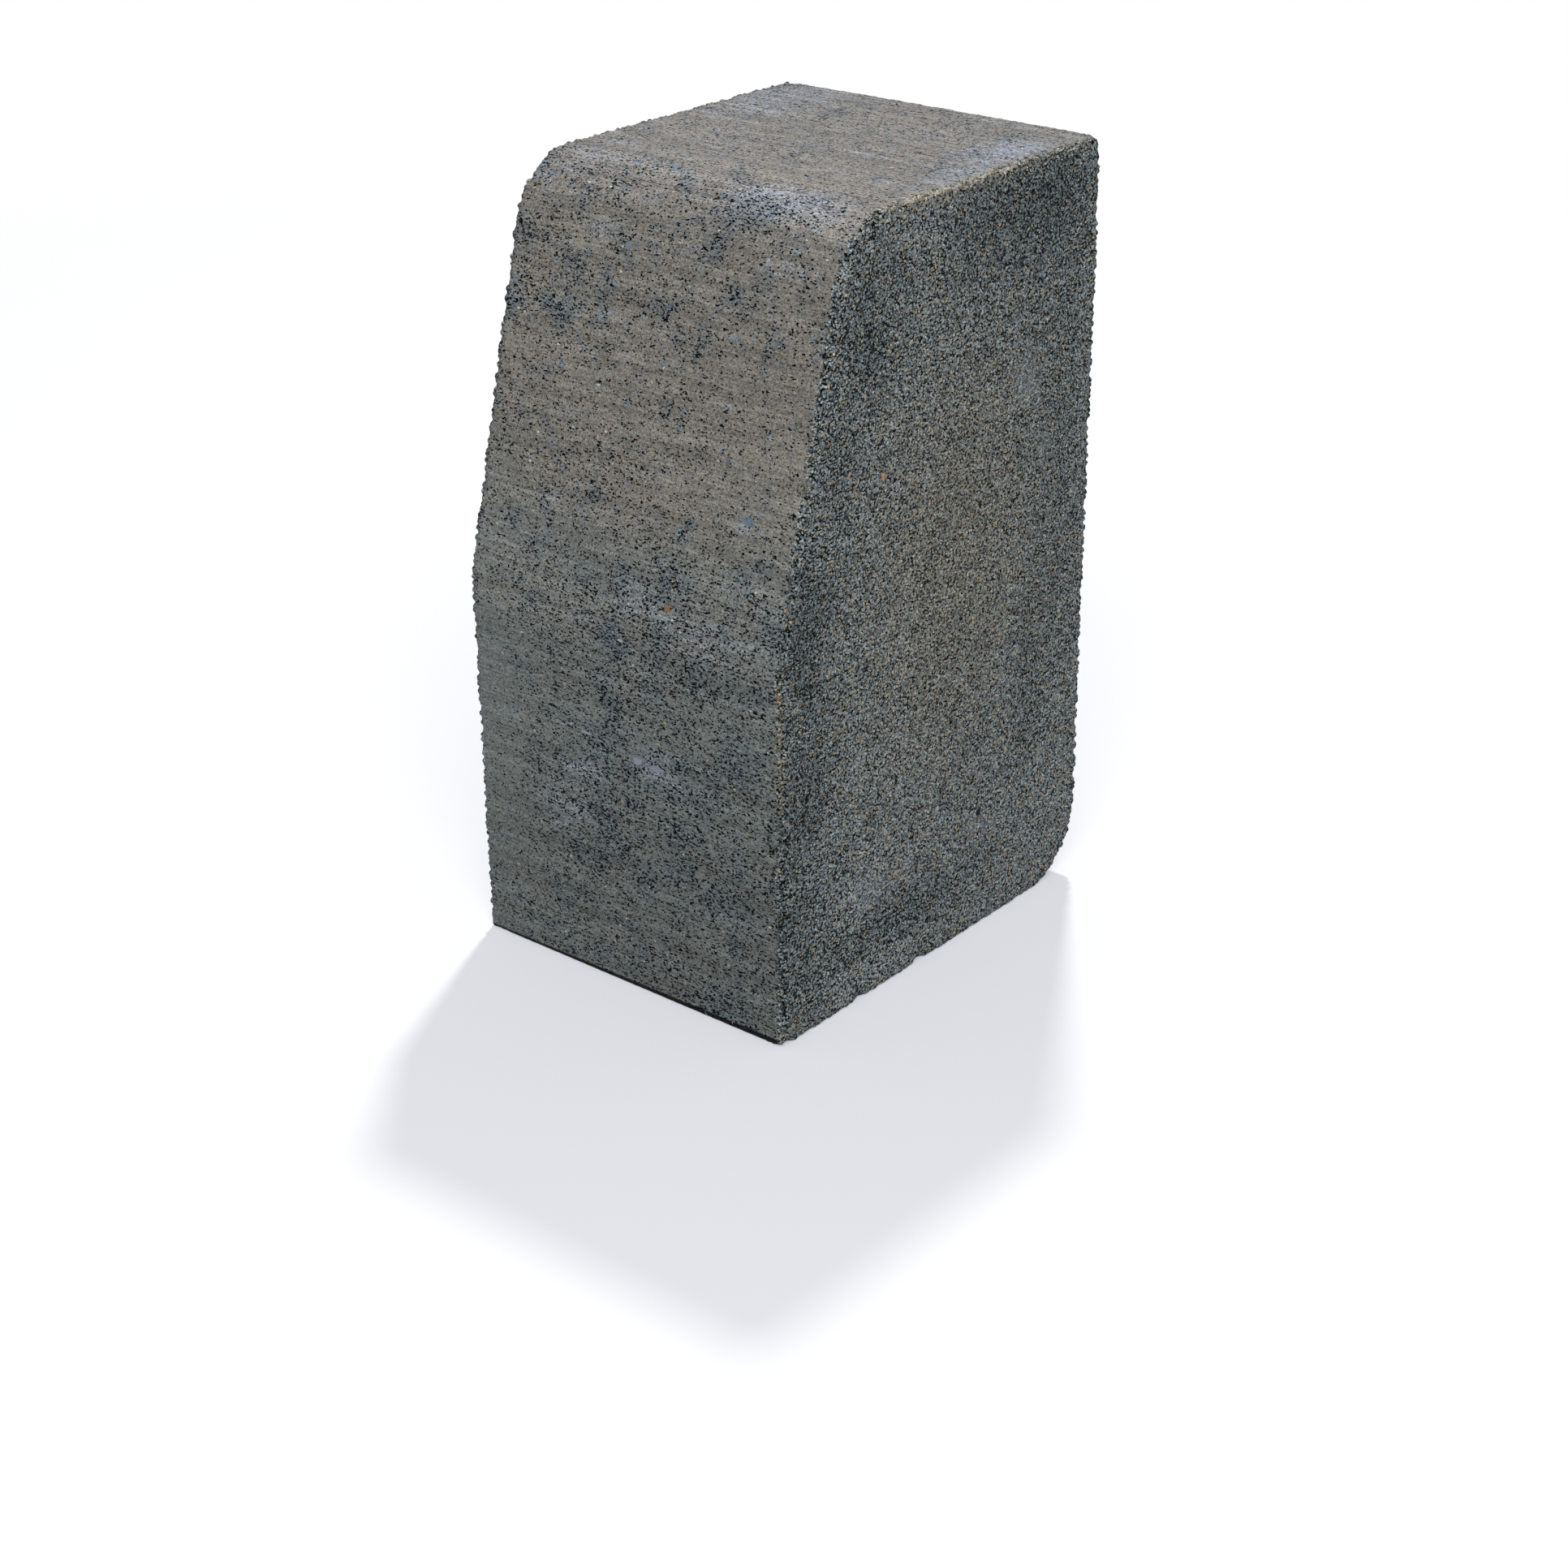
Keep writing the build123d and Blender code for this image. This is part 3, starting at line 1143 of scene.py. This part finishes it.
@dataclass
class StudioLight:
    """One small lamp high behind the block, a broad panel in front, and soft light all round.

    Attributes:
        aim: Point that both lamps are turned to, in metres.
        key_place: Where the small lamp hangs, in metres.
        key_size: Width of the small lamp in metres.
        key_watts: Power of the small lamp.
        fill_place: Where the panel hangs, in metres.
        fill_size: Width of the panel in metres.
        fill_watts: Power of the panel.
        surround: Strength of the light from all round, where the camera doesn't look into it.
    """

    aim: Triple = (0.0, 0.0, 0.1)
    key_place: Triple = (-0.434, 0.795, 1.5)
    key_size: float = 0.12
    key_watts: float = 11.3
    fill_place: Triple = (1.0, -1.21, 1.33)
    fill_size: float = 1.2
    fill_watts: float = 17.8
    surround: float = 0.25

    def build(self) -> None:
        """Set up the lamps and the world."""
        self._lamp("key_lamp", self.key_place, self.key_size, self.key_watts, LampShape.ROUND)
        self._lamp("front_panel", self.fill_place, self.fill_size, self.fill_watts, LampShape.PANEL)
        world = bpy.data.worlds.new("white_studio")
        bpy.context.scene.world = world
        world.use_nodes = True
        world.node_tree.nodes.clear()
        add = partial(add_node, world.node_tree)
        to_camera = add("ShaderNodeLightPath", out="Is Camera Ray")
        strength = add(RANGE, {0: to_camera, TO_LOW: self.surround, TO_HIGH: 1.0})
        light = add("ShaderNodeBackground", {"Color": WHITE, "Strength": strength})
        add("ShaderNodeOutputWorld", {"Surface": light})

    def _lamp(self, name: str, place: Triple, size: float, watts: float, shape: LampShape) -> None:
        """Hang one area lamp and turn it to the block.

        Args:
            name: Name of the lamp.
            place: Where it hangs, in metres.
            size: Its width in metres.
            watts: Its power.
            shape: Its shape.
        """
        light = bpy.data.lights.new(name, "AREA")
        light.shape = shape.value
        light.size = size
        light.energy = watts
        lamp = bpy.data.objects.new(name, light)
        bpy.context.scene.collection.objects.link(lamp)
        lamp.location = place
        look = Vector(self.aim) - Vector(place)
        lamp.rotation_euler = look.to_track_quat("-Z", "Y").to_euler()


@dataclass
class PhotoCamera:
    """The photograph's viewpoint, found from the block's outline.

    Attributes:
        azimuth: Degrees round the block from straight in front of the road face.
        elevation: Degrees above the horizon.
        roll: Degrees by which the picture leans.
        distance: Metres from the point that the camera looks at.
        target: That point.
        focal_px: Focal length in pixels of the photograph.
        photo_px: Width and height of the photograph in pixels.
        nearest: Distance in metres from which the camera sees.
    """

    azimuth: float = 39.65
    elevation: float = 26.15
    roll: float = -0.48
    distance: float = 0.7535
    target: Triple = (-0.0008, 0.0, 0.0326)
    focal_px: float = 3513.9
    photo_px: int = 1932
    nearest: float = 0.01

    def build(self) -> Object:
        """Place the camera and make it the scene's.

        Returns:
            The camera.
        """
        data = bpy.data.cameras.new("photo_camera")
        data.sensor_fit = "HORIZONTAL"
        data.lens = self.focal_px * data.sensor_width / self.photo_px
        data.clip_start = self.nearest
        camera = bpy.data.objects.new("photo_camera", data)
        bpy.context.scene.collection.objects.link(camera)
        turn = Euler((math.radians(90 - self.elevation), 0.0, math.radians(self.azimuth)))
        lean = Matrix.Rotation(math.radians(self.roll), 3, "Z")
        facing = turn.to_matrix() @ lean
        camera.location = Vector(self.target) + facing @ Vector((0.0, 0.0, self.distance))
        camera.rotation_euler = facing.to_euler()
        bpy.context.scene.camera = camera
        return camera


def main() -> None:
    """Build the block, the floor, the light and the camera."""
    logging.basicConfig(level=logging.INFO, format="%(name)s: %(message)s")
    stone = KerbStone().build()
    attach(stone, "root")
    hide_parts("kerb_block")
    LOG.info("%s: %d points", stone.name, len(stone.data.vertices))
    LOG.info("%s laid", PaleFloor().build().name)
    StudioLight().build()
    LOG.info("%s set", PhotoCamera().build().name)
    bpy.context.scene.view_settings.view_transform = "Standard"


if __name__ == "__main__":
    main()
